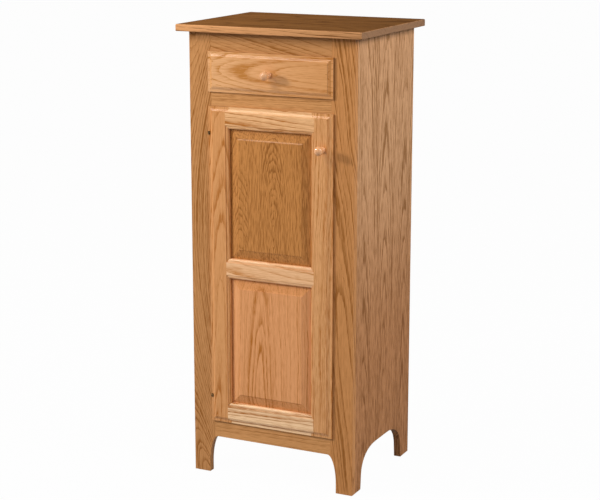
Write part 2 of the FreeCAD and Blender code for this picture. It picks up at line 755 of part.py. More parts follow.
def hinge_notch(height):
    """The gap in the lip of the hinge stile that the knuckle turns in."""
    reach = PIN_X + KNUCKLE_RADIUS + NOTCH_SIDE_PLAY
    half = KNUCKLE_HEIGHT / 2 + PIN_HEAD_HEIGHT + NOTCH_END_PLAY
    front = FRONT_FACE - OVERCUT
    return box(-FRONT_HALF - OVERCUT, reach, front, LIP_REAR, height - half, height + half)


def door_leaf_plate(height):
    """The flats of the door leaf: let into the back of the hinge stile, and up the side of its rabbet."""
    side = -INSET_HALF - LEAF_THICKNESS
    half = LEAF_HEIGHT / 2
    front = FRONT_REAR - LEAF_THICKNESS
    back_flat = box(side, PIN_X + DOOR_LEAF_REACH, front, FRONT_REAR, height - half, height + half)
    return back_flat.fuse(box(side, -INSET_HALF, LIP_REAR, FRONT_REAR, height - half, height + half))


def door_stile_hinge():
    """The left stile, notched and let in for the hinges."""
    stile = door_stile(-1)
    for height in HINGE_HEIGHTS.values():
        cuts = [hinge_notch(height), door_leaf_plate(height)]
        cuts += holes(door_leaf_screw_places(height), HINGE_SCREW_LENGTH, SMALL_SCREW_RADIUS)
        stile = cut_all(stile, cuts)
    return stile


def door_stile_knob():
    """The right stile, drilled for the knob."""
    return door_stile(1).cut(hole(*door_knob_place(), FRONT_THICKNESS, KNOB_SCREW_RADIUS))


def door_rail(bottom, top, arrises):
    """A rail of the door, coped over the sticking of the stiles. arrises lists where its own
    mouldings start, each with the way they run: 1 up, -1 down."""
    rail = box(-DOOR_STILE_ARRIS, DOOR_STILE_ARRIS, FRONT_FACE, FRONT_REAR, bottom, top)
    tenon_half = WINDOW_HALF + GROOVE_DEPTH
    rail = rail.fuse(door_groove(-tenon_half, tenon_half, bottom, top))
    length = FreeCAD.Vector(2 * (tenon_half + OVERCUT), 0, 0)
    cuts = []
    for arris, way in arrises:
        def inner_edge(s, t, arris=arris, way=way):
            return FreeCAD.Vector(-tenon_half - OVERCUT, FRONT_FACE + t, arris + way * s)

        window = arris + way * STICKING_WIDTH
        reach = tenon_half + OVERCUT
        cuts.append(sticking_waste(inner_edge, length))
        cuts.append(door_groove(-reach, reach, window, window - way * GROOVE_DEPTH))
    cuts += moulded_edge(DOOR_BOTTOM, DOOR_TOP)
    cuts += [door_stile(-1), door_stile(1)]
    return cut_all(rail, cuts).removeSplitter()


def door_top_rail():
    """The top rail, which carries the strike plate on its back."""
    rail = door_rail(TOP_RAIL_ARRIS - STICKING_WIDTH, DOOR_TOP, [(TOP_RAIL_ARRIS, -1)])
    return rail.cut(hole(*strike_screw_place(), STRIKE_THICKNESS + SCREW_BITE, SMALL_SCREW_RADIUS))


def door_middle_rail():
    """The rail between the two panels."""
    low = MIDDLE_RAIL_LOWER - STICKING_WIDTH
    high = MIDDLE_RAIL_UPPER + STICKING_WIDTH
    return door_rail(low, high, [(MIDDLE_RAIL_LOWER, -1), (MIDDLE_RAIL_UPPER, 1)])


def door_bottom_rail():
    """The bottom rail."""
    return door_rail(DOOR_BOTTOM, BOTTOM_RAIL_ARRIS + STICKING_WIDTH, [(BOTTOM_RAIL_ARRIS, 1)])


def raised_panel(bottom, top):
    """A panel whose bevel rises from a tongue, and then more steeply to a flat field, in the window
    between two heights."""
    def level_line(inset, from_face):
        """The oblong line round the panel at one distance in from the window and back from the face."""
        half = WINDOW_HALF - inset
        depth = FRONT_FACE + from_face
        corners = [(-half, bottom + inset), (half, bottom + inset), (half, top - inset), (-half, top - inset)]
        return Part.makePolygon([FreeCAD.Vector(x, depth, z) for x, z in corners + corners[:1]])

    tongue = GROOVE_DEPTH - PANEL_PLAY
    reach = WINDOW_HALF + tongue
    plate = door_groove(-reach, reach, bottom - tongue, top + tongue)
    base = level_line(0, GROOVE_FROM_FACE)
    brow = level_line(BEVEL_WIDTH, FIELD_FROM_FACE + FIELD_STEP)
    field = level_line(BEVEL_WIDTH + FIELD_RAMP, FIELD_FROM_FACE)
    slopes = [Part.makeLoft([base, brow], True, True), Part.makeLoft([brow, field], True, True)]
    return plate.fuse(slopes).removeSplitter()


def door_panel_upper():
    """The panel over the middle rail."""
    return raised_panel(MIDDLE_RAIL_UPPER + STICKING_WIDTH, TOP_RAIL_ARRIS - STICKING_WIDTH)


def door_panel_lower():
    """The panel under the middle rail."""
    return raised_panel(BOTTOM_RAIL_ARRIS + STICKING_WIDTH, MIDDLE_RAIL_LOWER - STICKING_WIDTH)


# Knobs
def knob(across, height):
    """A turned knob on the face of a front: flared base, neck, and a domed head."""
    def at(out, radius):
        """A point at a distance out from the face and off the axis."""
        return FreeCAD.Vector(radius, 0, out)

    throat = (KNOB_BASE_RIM + KNOB_WIDEST) / 2
    neck = at((KNOB_BASE_RIM + throat) / 2, KNOB_NECK_RADIUS)
    cheek = at(KNOB_WIDEST - KNOB_CHEEK_SHARE * (KNOB_WIDEST - throat), KNOB_CHEEK_RADIUS)
    brow = at(KNOB_PROJECTION, KNOB_RADIUS)
    rim = at(KNOB_BASE_RIM, KNOB_BASE_RADIUS)
    collar = at(throat, KNOB_THROAT)
    widest = at(KNOB_WIDEST, KNOB_RADIUS)
    tip = at(KNOB_PROJECTION, 0)
    outline = [
        line(at(0, 0), at(0, KNOB_BASE_RADIUS)),
        line(at(0, KNOB_BASE_RADIUS), rim),
        Part.Arc(rim, neck, collar).toShape(),
        Part.Arc(collar, cheek, widest).toShape(),
        swept_corner(widest, brow, tip, ROUND_PULL, ROUND_PULL),
        line(tip, at(0, 0)),
    ]
    foot = FreeCAD.Vector(across, FRONT_FACE, height)
    socket = hole(foot, FORWARD, KNOB_SCREW_BITE + OVERCUT, KNOB_SCREW_RADIUS)
    return placed(turned(outline), foot, FORWARD).cut(socket)


def knob_screw(place, wood):
    """The screw that holds a knob through a thickness of wood."""
    length = wood + KNOB_SCREW_BITE
    return screw(*place, length, KNOB_SCREW_RADIUS, SCREW_HEAD_RADIUS, SCREW_HEAD_RISE)


# Hinges
def knuckle(bottom, top):
    """One turn of a hinge knuckle between two heights, with the hole for the pin."""
    foot = FreeCAD.Vector(PIN_X, PIN_Y, bottom)
    barrel = Part.makeCylinder(KNUCKLE_RADIUS, top - bottom, foot)
    return barrel, Part.makeCylinder(PIN_RADIUS + PIN_PLAY, top - bottom, foot)


def hinge_frame_leaf(height):
    """The leaf on the frame: a flange on the stile's inner edge, a bridge across its front, and the
    lower knuckle on a short arm."""
    half = LEAF_HEIGHT / 2
    inner = LEAF_THICKNESS - OPENING_HALF
    back = FRAME_FRONT + FRAME_LEAF_DEPTH
    low = height - KNUCKLE_HEIGHT / 2
    high = height - KNUCKLE_GAP / 2
    flange = box(-OPENING_HALF, inner, FRAME_FRONT, back, height - half, height + half)
    bridge = box(PIN_X - ARM_HALF, inner, FRAME_FRONT - LEAF_THICKNESS, FRAME_FRONT, low, high)
    arm = box(PIN_X - ARM_HALF, PIN_X + ARM_HALF, PIN_Y, FRAME_FRONT, low, high)
    barrel, bore = knuckle(low, high)
    leaf = flange.fuse([bridge, arm, barrel]).cut(bore)
    drilled = holes(frame_leaf_screw_places(height), HINGE_SCREW_LENGTH, SMALL_SCREW_RADIUS)
    return cut_all(leaf, drilled).removeSplitter()


def hinge_door_leaf(height):
    """The leaf on the door: a plate round the rabbet of the stile, a bridge behind its lip, and the
    upper knuckle on a short arm."""
    low = height + KNUCKLE_GAP / 2
    high = height + KNUCKLE_HEIGHT / 2
    back = LIP_REAR + LEAF_THICKNESS
    bridge = box(PIN_X - ARM_HALF, -INSET_HALF, LIP_REAR, back, low, high)
    arm = box(PIN_X - ARM_HALF, PIN_X + ARM_HALF, PIN_Y, back, low, high)
    barrel, bore = knuckle(low, high)
    leaf = door_leaf_plate(height).fuse([bridge, arm, barrel]).cut(bore)
    drilled = holes(door_leaf_screw_places(height), HINGE_SCREW_LENGTH, SMALL_SCREW_RADIUS)
    return cut_all(leaf, drilled).removeSplitter()


def hinge_pin(height):
    """The pin through both knuckles, with a small head at each end."""
    foot = FreeCAD.Vector(PIN_X, PIN_Y, height - KNUCKLE_HEIGHT / 2 - PIN_HEAD_HEIGHT)
    top = FreeCAD.Vector(PIN_X, PIN_Y, height + KNUCKLE_HEIGHT / 2)
    shaft = Part.makeCylinder(PIN_RADIUS, KNUCKLE_HEIGHT + 2 * PIN_HEAD_HEIGHT, foot)
    heads = [Part.makeCylinder(PIN_HEAD_RADIUS, PIN_HEAD_HEIGHT, end) for end in (foot, top)]
    return shaft.fuse(heads).removeSplitter()


# Catch and pads
def catch_keepers():
    """The two steel keepers that stand out of the catch towards the strike plate."""
    front = FRONT_REAR + STRIKE_THICKNESS + STRIKE_PLAY
    half = KEEPER_WIDTH / 2
    plates = []
    for sign in SIDES.values():
        level = CATCH_LINE + sign * KEEPER_SPACING / 2
        plates.append(box(CATCH_MIDDLE - half, CATCH_MIDDLE + half, front, front + KEEPER_DEPTH,
                          level - KEEPER_THICKNESS / 2, level + KEEPER_THICKNESS / 2))
    return Part.makeCompound(plates)


def magnetic_catch():
    """The body of the catch under the middle rail, with an ear for a screw at each end."""
    half = CATCH_WIDTH / 2
    back = CATCH_FRONT + CATCH_DEPTH
    low = DOOR_OPENING_TOP - CATCH_HEIGHT
    body = box(CATCH_MIDDLE - half, CATCH_MIDDLE + half, CATCH_FRONT, back, low, DOOR_OPENING_TOP)
    reach = half + CATCH_EAR_LENGTH
    ears = box(CATCH_MIDDLE - reach, CATCH_MIDDLE + reach, CATCH_FRONT, back,
               DOOR_OPENING_TOP - CATCH_EAR_THICKNESS, DOOR_OPENING_TOP)
    drilled = holes(catch_screw_places(), CATCH_EAR_THICKNESS + SCREW_BITE, SMALL_SCREW_RADIUS)
    return cut_all(body.fuse(ears).removeSplitter(), [catch_keepers()] + drilled)


def strike_plate():
    """The steel plate on the back of the door that the catch holds."""
    half = KEEPER_WIDTH / 2
    back = FRONT_REAR + STRIKE_THICKNESS
    plate = box(CATCH_MIDDLE - half, CATCH_MIDDLE + half, FRONT_REAR, back,
                CATCH_LINE - STRIKE_HEIGHT / 2, CATCH_LINE + STRIKE_HEIGHT / 2)
    return plate.cut(hole(*strike_screw_place(), STRIKE_THICKNESS + SCREW_BITE, SMALL_SCREW_RADIUS))


def bumpers(bottom, top, columns):
    """Thin round pads on the back of a front's lip, where it laps over the frame."""
    pads = []
    for column in columns:
        for height in (bottom + BUMPER_FROM_END, top - BUMPER_FROM_END):
            foot = FreeCAD.Vector(column * (FRONT_HALF - FRONT_LAP / 2), LIP_REAR, height)
            pad = Part.makeCylinder(BUMPER_RADIUS, FRONT_GAP - BUMPER_PLAY)
            pads.append(placed(pad, foot, FORWARD * -1))
    return Part.makeCompound(pads)


# Drawer
def drawer_front():
    """The moulded front that shows, drilled for its knob and its screws."""
    board = box(-FRONT_HALF, FRONT_HALF, FRONT_FACE, FRONT_REAR, DRAWER_FRONT_BOTTOM, DRAWER_FRONT_TOP)
    board = cut_all(board, moulded_edge(DRAWER_FRONT_BOTTOM, DRAWER_FRONT_TOP))
    drilled = holes(drawer_front_screw_places(), DRAWER_WALL + SCREW_BITE, SCREW_RADIUS)
    drilled.append(hole(*drawer_knob_place(), DRAWER_WALL + FRONT_THICKNESS, KNOB_SCREW_RADIUS))
    return cut_all(board, drilled)


def drawer_bottom():
    """The thin bottom, held in grooves and run out under the back."""
    half = BOX_INNER_HALF + DRAWER_HOUSING
    front = FRONT_REAR + DRAWER_WALL - DRAWER_HOUSING
    return box(-half, half, front, BOX_END, BOX_FLOOR - DRAWER_BOTTOM_THICKNESS, BOX_FLOOR)


def drawer_box_front():
    """The inner front of the drawer box, let into its sides."""
    half = BOX_INNER_HALF + DRAWER_HOUSING
    board = box(-half, half, FRONT_REAR, FRONT_REAR + DRAWER_WALL, BOX_BOTTOM, BOX_TOP)
    drilled = holes(drawer_front_screw_places(), DRAWER_WALL, SCREW_RADIUS)
    drilled.append(hole(*drawer_knob_place(), DRAWER_WALL, KNOB_SCREW_RADIUS))
    return cut_all(board, [drawer_bottom()] + drilled)


def drawer_back():
    """The back of the drawer box, which stands on the bottom."""
    half = BOX_INNER_HALF + DRAWER_HOUSING
    return box(-half, half, BOX_END - DRAWER_WALL, BOX_END, BOX_FLOOR, BOX_TOP)


def drawer_side(sign):
    """One side of the drawer box, housed for its front, back and bottom."""
    board = box(sign * BOX_INNER_HALF, sign * BOX_HALF, FRONT_REAR, BOX_END, BOX_BOTTOM, BOX_TOP)
    front = box(-BOX_INNER_HALF - DRAWER_HOUSING, BOX_INNER_HALF + DRAWER_HOUSING,
                FRONT_REAR, FRONT_REAR + DRAWER_WALL, BOX_BOTTOM, BOX_TOP)
    return cut_all(board, [front, drawer_back(), drawer_bottom()])


def drawer_guide(sign):
    """The strip on the deck that keeps one side of the drawer straight."""
    inner = BOX_HALF + GUIDE_PLAY
    top = DRAWER_OPENING_BOTTOM + GUIDE_HEIGHT
    outer = inner + GUIDE_WIDTH
    strip = box(sign * inner, sign * outer, FRAME_BACK, BACK_RAIL_FACE, DRAWER_OPENING_BOTTOM, top)
    return cut_all(strip, holes(guide_screw_places(sign), GUIDE_HEIGHT, SCREW_RADIUS))


def drawer_kicker():
    """The bar over the drawer that keeps it from tipping when it is out."""
    half = KICKER_WIDTH / 2
    return box(-half, half, FRAME_BACK, BACK_RAIL_FACE, KICKER_BOTTOM, KICKER_BOTTOM + KICKER_HEIGHT)


def drawer_stop():
    """The block under the kicker that the drawer's back meets at the end of its travel."""
    half = KICKER_WIDTH / 2
    return box(-half, half, STOP_BACK - STOP_THICKNESS, STOP_BACK, KICKER_BOTTOM - STOP_DROP, KICKER_BOTTOM)


def case_nodes():
    """The pieces that stay with the case."""
    nodes = {
        "top_board": top_board(),
        "frame_top_rail": frame_top_rail(),
        "frame_middle_rail": frame_middle_rail(),
        "frame_bottom_rail": frame_bottom_rail(),
        "cabinet_floor": cabinet_floor(),
        "drawer_deck": drawer_deck(),
        "back_panel": nailed(back_panel_board()),
        "back_top_rail": nailed(back_rail_board()),
        "drawer_kicker": drawer_kicker(),
        "drawer_stop": drawer_stop(),
        "magnetic_catch": magnetic_catch(),
        "catch_keepers": catch_keepers(),
    }
    for index, board in enumerate(shelf_boards()):
        nodes[f"shelf_{index + 1}"] = nailed(board)
    for name, sign in SIDES.items():
        nodes[f"side_{name}"] = side_board(sign)
        nodes[f"frame_stile_{name}"] = frame_stile(sign)
        nodes[f"top_cleat_{name}"] = top_cleat(sign)
        nodes[f"drawer_guide_{name}"] = drawer_guide(sign)
    cleat_places = cleat_screw_places(-1) + cleat_screw_places(1)
    guide_places = guide_screw_places(-1) + guide_screw_places(1)
    nodes["top_screws"] = group(wood_screw(CLEAT_SIZE + SCREW_BITE), top_screw_places())
    nodes["cleat_screws"] = group(wood_screw(CLEAT_SIZE + SCREW_BITE), cleat_places)
    nodes["guide_screws"] = group(wood_screw(GUIDE_HEIGHT + SCREW_BITE), guide_places)
    nodes["catch_screws"] = group(small_screw(CATCH_EAR_THICKNESS + SCREW_BITE), catch_screw_places())
    nodes["back_nails"] = group(lambda place: nail(*place), back_nail_places())
    leaf_places = []
    for name, height in HINGE_HEIGHTS.items():
        nodes[f"hinge_frame_leaf_{name}"] = hinge_frame_leaf(height)
        nodes[f"hinge_pin_{name}"] = hinge_pin(height)
        leaf_places += frame_leaf_screw_places(height)
    nodes["hinge_frame_screws"] = group(small_screw(HINGE_SCREW_LENGTH), leaf_places)
    return nodes


def door_nodes():
    """The pieces that swing with the door."""
    knob_at = door_knob_place()
    nodes = {
        "door_stile_hinge": door_stile_hinge(),
        "door_stile_knob": door_stile_knob(),
        "door_top_rail": door_top_rail(),
        "door_middle_rail": door_middle_rail(),
        "door_bottom_rail": door_bottom_rail(),
        "door_panel_upper": door_panel_upper(),
        "door_panel_lower": door_panel_lower(),
        "door_knob": knob(knob_at[0].x, knob_at[0].z),
        "door_knob_screw": knob_screw(knob_at, FRONT_THICKNESS),
        "door_bumpers": bumpers(DOOR_BOTTOM, DOOR_TOP, [1]),
        "strike_plate": strike_plate(),
        "strike_screw": small_screw(STRIKE_THICKNESS + SCREW_BITE)(strike_screw_place()),
    }
    leaf_places = []
    for name, height in HINGE_HEIGHTS.items():
        nodes[f"hinge_door_leaf_{name}"] = hinge_door_leaf(height)
        leaf_places += door_leaf_screw_places(height)
    nodes["hinge_door_screws"] = group(small_screw(HINGE_SCREW_LENGTH), leaf_places)
    return nodes


def drawer_nodes():
    """The pieces that slide with the drawer."""
    knob_at = drawer_knob_place()
    nodes = {
        "drawer_front": drawer_front(),
        "drawer_box_front": drawer_box_front(),
        "drawer_back": drawer_back(),
        "drawer_bottom": drawer_bottom(),
        "drawer_knob": knob(knob_at[0].x, knob_at[0].z),
        "drawer_knob_screw": knob_screw(knob_at, DRAWER_WALL + FRONT_THICKNESS),
        "drawer_front_screws": group(wood_screw(DRAWER_WALL + SCREW_BITE), drawer_front_screw_places()),
        "drawer_bumpers": bumpers(DRAWER_FRONT_BOTTOM, DRAWER_FRONT_TOP, SIDES.values()),
    }
    for name, sign in SIDES.items():
        nodes[f"drawer_side_{name}"] = drawer_side(sign)
    return nodes


def main():
    """Build every piece and write each to its own file."""
    os.makedirs("parts", exist_ok=True)
    nodes = {**case_nodes(), **door_nodes(), **drawer_nodes()}
    for name, shape in nodes.items():
        shape.exportStep(f"parts/{name}.step")
        print(name, len(shape.Solids), "solids", round(shape.Volume), "mm3", shape.isValid())


main()
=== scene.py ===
# %% [markdown]
# # An oak pie safe
# A narrow oak cupboard: an overhanging top, a moulded drawer, and a door with two raised panels.
# Every board already exists as a solid, so this lesson dresses the boards in oak, turns the two
# knobs, finishes the hidden fittings, and lights the cupboard as in a photographer's studio.

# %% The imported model
import bmesh
import bpy
import json
import math
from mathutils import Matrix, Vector


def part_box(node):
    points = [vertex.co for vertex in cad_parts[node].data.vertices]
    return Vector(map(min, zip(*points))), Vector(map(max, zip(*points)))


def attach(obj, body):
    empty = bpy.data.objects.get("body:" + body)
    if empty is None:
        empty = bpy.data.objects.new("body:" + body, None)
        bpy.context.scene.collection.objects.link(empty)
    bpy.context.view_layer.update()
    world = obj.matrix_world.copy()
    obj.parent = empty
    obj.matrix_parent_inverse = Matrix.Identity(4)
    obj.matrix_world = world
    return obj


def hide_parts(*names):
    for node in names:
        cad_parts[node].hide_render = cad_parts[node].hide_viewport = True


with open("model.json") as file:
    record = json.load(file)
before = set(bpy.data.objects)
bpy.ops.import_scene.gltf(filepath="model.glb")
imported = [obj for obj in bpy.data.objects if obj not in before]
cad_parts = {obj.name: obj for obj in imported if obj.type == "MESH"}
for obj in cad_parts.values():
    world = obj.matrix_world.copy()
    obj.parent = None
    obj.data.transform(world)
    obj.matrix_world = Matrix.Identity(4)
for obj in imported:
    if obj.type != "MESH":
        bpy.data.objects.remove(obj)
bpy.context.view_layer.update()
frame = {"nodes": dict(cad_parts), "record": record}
nodes = frame["nodes"]
MM = 0.001

# %% [markdown]
# ## The camera
# The picture was taken from the right of the front and a little above the top, with a long lens, so
# the uprights stay nearly parallel. A place, an aim and a focal length say all of that, and no lens
# shift is needed.

# %% Camera
CAMERA_PLACE = Vector((1.8792, -3.8674, 1.6028))
CAMERA_AIM = Vector((-0.010, 0.0183, 0.6002))
CAMERA_LENS_MM = 97.9
SENSOR_MM = 36.0

camera_data = bpy.data.cameras.new("camera")
camera_data.sensor_width = SENSOR_MM
camera_data.lens = CAMERA_LENS_MM
camera = bpy.data.objects.new("camera", camera_data)
camera.location = CAMERA_PLACE
camera.rotation_euler = (CAMERA_AIM - CAMERA_PLACE).to_track_quat("-Z", "Y").to_euler()
bpy.context.scene.collection.objects.link(camera)
bpy.context.scene.camera = camera
bpy.context.scene.view_settings.view_transform = "Standard"
print("camera distance in m:", round((CAMERA_AIM - CAMERA_PLACE).length, 2))

# %% [markdown]
# ## Node helpers
# A procedural finish is a chain of small sums. Written out node by node it is hard to read, so this
# class gives each kind of sum one short call, which adds the node, joins its inputs and returns its
# output.


# %% Node helpers
class Wiring:
    """Adds nodes to one node tree. An input may be a number, a colour, a vector or a socket."""

    def __init__(self, tree):
        self.tree = tree

    def add(self, kind, **settings):
        made = self.tree.nodes.new(kind)
        for name, value in settings.items():
            setattr(made, name, value)
        return made

    def feed(self, socket, value):
        if isinstance(value, bpy.types.NodeSocket):
            self.tree.links.new(value, socket)
        else:
            socket.default_value = value

    def sum(self, operation, *values):
        made = self.add("ShaderNodeMath", operation=operation)
        for socket, value in zip(made.inputs, values):
            self.feed(socket, value)
        return made.outputs[0]

    def total(self, first, *others):
        for other in others:
            first = self.sum("ADD", first, other)
        return first

    def product(self, first, *others):
        for other in others:
            first = self.sum("MULTIPLY", first, other)
        return first

    def vector(self, operation, *values):
        made = self.add("ShaderNodeVectorMath", operation=operation)
        for socket, value in zip(made.inputs, values):
            self.feed(socket, value)
        return made.outputs[0]

    def noise(self, place, stretch, detail=2.0):
        """Soft noise at a place whose axes are first stretched to that many patches a metre."""
        made = self.add("ShaderNodeTexNoise")
        self.feed(made.inputs["Vector"], self.vector("MULTIPLY", place, stretch))
        made.inputs["Scale"].default_value = 1.0
        made.inputs["Detail"].default_value = detail
        return made

    def swing(self, value, reach):
        """A share from nought to one turned into a swing to both sides of nought."""
        return self.product(self.sum("SUBTRACT", value, 0.5), reach)

    def ramp(self, value, low, high, to_low=0.0, to_high=1.0):
        """A soft step from to_low to to_high as the value goes from low to high."""
        made = self.add("ShaderNodeMapRange", interpolation_type="SMOOTHSTEP")
        for socket, fed in zip(made.inputs, (value, low, high, to_low, to_high)):
            self.feed(socket, fed)
        return made.outputs[0]

    def blend(self, share, first, second, way="MIX"):
        made = self.add("ShaderNodeMix", data_type="RGBA", blend_type=way)
        colours = [socket for socket in made.inputs if socket.type == "RGBA"]
        self.feed(made.inputs[0], share)
        self.feed(colours[0], first)
        self.feed(colours[1], second)
        return [socket for socket in made.outputs if socket.type == "RGBA"][0]

    def random(self, number):
        """A colour of three random shares that stays the same for the same number."""
        made = self.add("ShaderNodeTexWhiteNoise", noise_dimensions="1D")
        self.feed(made.inputs["W"], number)
        return made.outputs["Color"]

    def parts(self, vector):
        made = self.add("ShaderNodeSeparateXYZ")
        self.feed(made.inputs[0], vector)
        return made.outputs

    def whole(self, x, y, z):
        made = self.add("ShaderNodeCombineXYZ")
        for socket, value in zip(made.inputs, (x, y, z)):
            self.feed(socket, value)
        return made.outputs[0]


# %% [markdown]
# ## The studio
# A pale floor and three softboxes stand in an even, dim room. A small one at the left models the panels
# and throws the knobs' shadows to the right. A long one high up draws bright lines along the mouldings.
# A large one at the right lights the side and fills the shadows beside the door. The background is white
# because the world and the floor answer camera, glossy and transmission rays with white, not because of
# more light.

# %% Studio
FLOOR_SIZE = 40.0
FLOOR_WHITE = 0.98
WHITE = (1.0, 1.0, 1.0, 1.0)
PAPER = (0.45, 0.45, 0.45, 1.0)
ROOM_LIGHT = 0.17


def seen_rays(wires):
    """One for rays that look at the studio, nought for rays that light it."""
    path = wires.add("ShaderNodeLightPath")
    looked = wires.sum("MAXIMUM", path.outputs["Is Camera Ray"], path.outputs["Is Glossy Ray"])
    return wires.sum("MAXIMUM", looked, path.outputs["Is Transmission Ray"])


def studio_world():
    """A dim room that looks white."""
    world = bpy.data.worlds.new("studio")
    world.use_nodes = True
    world.node_tree.nodes.clear()
    wires = Wiring(world.node_tree)
    room = wires.add("ShaderNodeBackground")
    room.inputs["Strength"].default_value = ROOM_LIGHT
    room.inputs["Color"].default_value = WHITE
    white = wires.add("ShaderNodeBackground")
    white.inputs["Color"].default_value = WHITE
    mix = wires.add("ShaderNodeMixShader")
    wires.feed(mix.inputs[0], seen_rays(wires))
    wires.feed(mix.inputs[1], room.outputs[0])
    wires.feed(mix.inputs[2], white.outputs[0])
    out = wires.add("ShaderNodeOutputWorld")
    wires.feed(out.inputs["Surface"], mix.outputs[0])
    bpy.context.scene.world = world


def studio_floor():
    """A wide pale floor that looks white."""
    mesh = bmesh.new()
    bmesh.ops.create_grid(mesh, x_segments=1, y_segments=1, size=FLOOR_SIZE / 2)
    data = bpy.data.meshes.new("floor")
    mesh.to_mesh(data)
    mesh.free()
    floor = bpy.data.objects.new("floor", data)
    bpy.context.scene.collection.objects.link(floor)
    finish = bpy.data.materials.new("pale_floor")
    finish.use_nodes = True
    finish.node_tree.nodes.clear()
    wires = Wiring(finish.node_tree)
    paper = wires.add("ShaderNodeBsdfDiffuse")
    paper.inputs["Color"].default_value = PAPER
    glow = wires.add("ShaderNodeEmission")
    glow.inputs["Color"].default_value = WHITE
    mix = wires.add("ShaderNodeMixShader")
    wires.feed(mix.inputs[0], wires.product(seen_rays(wires), FLOOR_WHITE))
    wires.feed(mix.inputs[1], paper.outputs[0])
    wires.feed(mix.inputs[2], glow.outputs[0])
    out = wires.add("ShaderNodeOutputMaterial")
    wires.feed(out.inputs["Surface"], mix.outputs[0])
    data.materials.append(finish)


def softbox(name, place, aim, width, height, watts):
    """A lamp with a wide soft face, turned to what it lights."""
    light = bpy.data.lights.new(name, "AREA")
    light.shape = "RECTANGLE"
    light.size = width
    light.size_y = height
    light.energy = watts
    lamp = bpy.data.objects.new(name, light)
    lamp.location = place
    lamp.rotation_euler = (Vector(aim) - Vector(place)).to_track_quat("-Z", "Y").to_euler()
    bpy.context.scene.collection.objects.link(lamp)


FRONT_MIDDLE = (0.0, -0.15, 0.75)
SIDE_MIDDLE = (0.2, 0.0, 0.8)
studio_world()
studio_floor()
softbox("left_softbox", place=(-2.8, -2.0, 2.05), aim=FRONT_MIDDLE, width=0.5, height=0.5, watts=75.0)
softbox("side_softbox", place=(3.0, -0.45, 2.6), aim=SIDE_MIDDLE, width=1.4, height=1.4, watts=83.0)
softbox("high_softbox", place=(-1.4, -2.1, 3.1), aim=FRONT_MIDDLE, width=1.6, height=0.8, watts=48.0)

# %% [markdown]
# ## The figure of oak
# A board is a slice through a stack of cones: the yearly rings of the tree. Where the slice runs
# near the heart it shows nested arches, and further out it shows straight lines. So the figure is
# made that way here: the distance of each point from a slowly wandering heart line, cut into rings.
# It is one node group that all boards share. Each board only sets the inputs: where its heart lies, how
# wide its rings are, how strong each kind of mark is, and its tones. Lengths are in metres.

# %% Inputs of the figure
FIGURE_INPUTS = [
    ("Place", "NodeSocketVector", None),
    ("Facing", "NodeSocketVector", None),
    ("Seed", "NodeSocketFloat", 0.0),
    ("Heart Across", "NodeSocketFloat", 0.0),
    ("Heart Depth", "NodeSocketFloat", 0.05),
    ("Taper", "NodeSocketFloat", 0.03),
    ("Bow", "NodeSocketFloat", 0.0),
    ("Lean", "NodeSocketFloat", 0.0),
    ("Curve", "NodeSocketFloat", 0.0),
    ("Ring", "NodeSocketFloat", 0.008),
    ("Share", "NodeSocketFloat", 0.75),
    ("Wander", "NodeSocketFloat", 0.02),
    ("Ragged", "NodeSocketFloat", 0.003),
    ("Stave", "NodeSocketFloat", 10.0),
    ("Stave Tone", "NodeSocketFloat", 0.0),
    ("Lines", "NodeSocketFloat", 0.8),
    ("Dashes", "NodeSocketFloat", 1.3),
    ("Dash Width", "NodeSocketFloat", 0.0016),
    ("Dash Length", "NodeSocketFloat", 0.028),
    ("Hair", "NodeSocketFloat", 0.7),
    ("Streaks", "NodeSocketFloat", 0.5),
    ("Pale", "NodeSocketColor", (0.6, 0.33, 0.14, 1.0)),
    ("Dark", "NodeSocketColor", (0.28, 0.12, 0.035, 1.0)),
    ("End", "NodeSocketColor", (0.25, 0.14, 0.075, 1.0)),
    # Painted shade on a board's broad faces, and painted sheen and painted shade towards the low end of
    # its grain.
    ("Painted Face Shade", "NodeSocketColor", (1.0, 1.0, 1.0, 1.0)),
    ("Foot Sheen And Shade", "NodeSocketColor", (1.0, 1.0, 1.0, 1.0)),
    ("Cut Tone", "NodeSocketColor", (1.0, 1.0, 1.0, 1.0)),
]
FIGURE_OUTPUTS = [
    ("Colour", "NodeSocketColor"),
    ("Rough", "NodeSocketFloat"),
    ("Height", "NodeSocketFloat"),
]


def figure_group():
    """The empty node group of the oak figure, with its sockets."""
    tree = bpy.data.node_groups.new("oak_figure", "ShaderNodeTree")
    for name, kind, value in FIGURE_INPUTS:
        socket = tree.interface.new_socket(name, in_out="INPUT", socket_type=kind)
        if value is not None:
            socket.default_value = value
    for name, kind in FIGURE_OUTPUTS:
        tree.interface.new_socket(name, in_out="OUTPUT", socket_type=kind)
    return tree


print("inputs of the figure:", len(FIGURE_INPUTS))

# %% [markdown]
# ## Staves and rings
# Wide boards are glued up from staves that each get another piece of tree. Rings differ in width and
# strength, and each starts with a dark, open-pored band and fades to pale summer wood. The noises are
# given as so many patches a metre along, across and through the board.

# %% Staves and rings
STAVE_SEED_STEP = 7.31
STAVE_DEPTH_STEP = 3.7
STAVE_SHIFT_ACROSS = 0.12
STAVE_SHIFT_ALONG = 1.0
DRIFT_A_METRE = (2.2, 6.0, 6.0)
RAGGED_A_METRE = (14.0, 210.0, 210.0)
FINE_DETAIL = 3.0
UNEVEN_RATE = 0.55
UNEVEN_REACH = 1.4
LUCK_BELOW = -0.25
LUCK_ABOVE = 0.35
SLOW_FADE = 0.38
QUICK_FADE = 0.62
QUICK_START = 0.02
QUICK_END = 0.35
NEXT_RING = 0.90


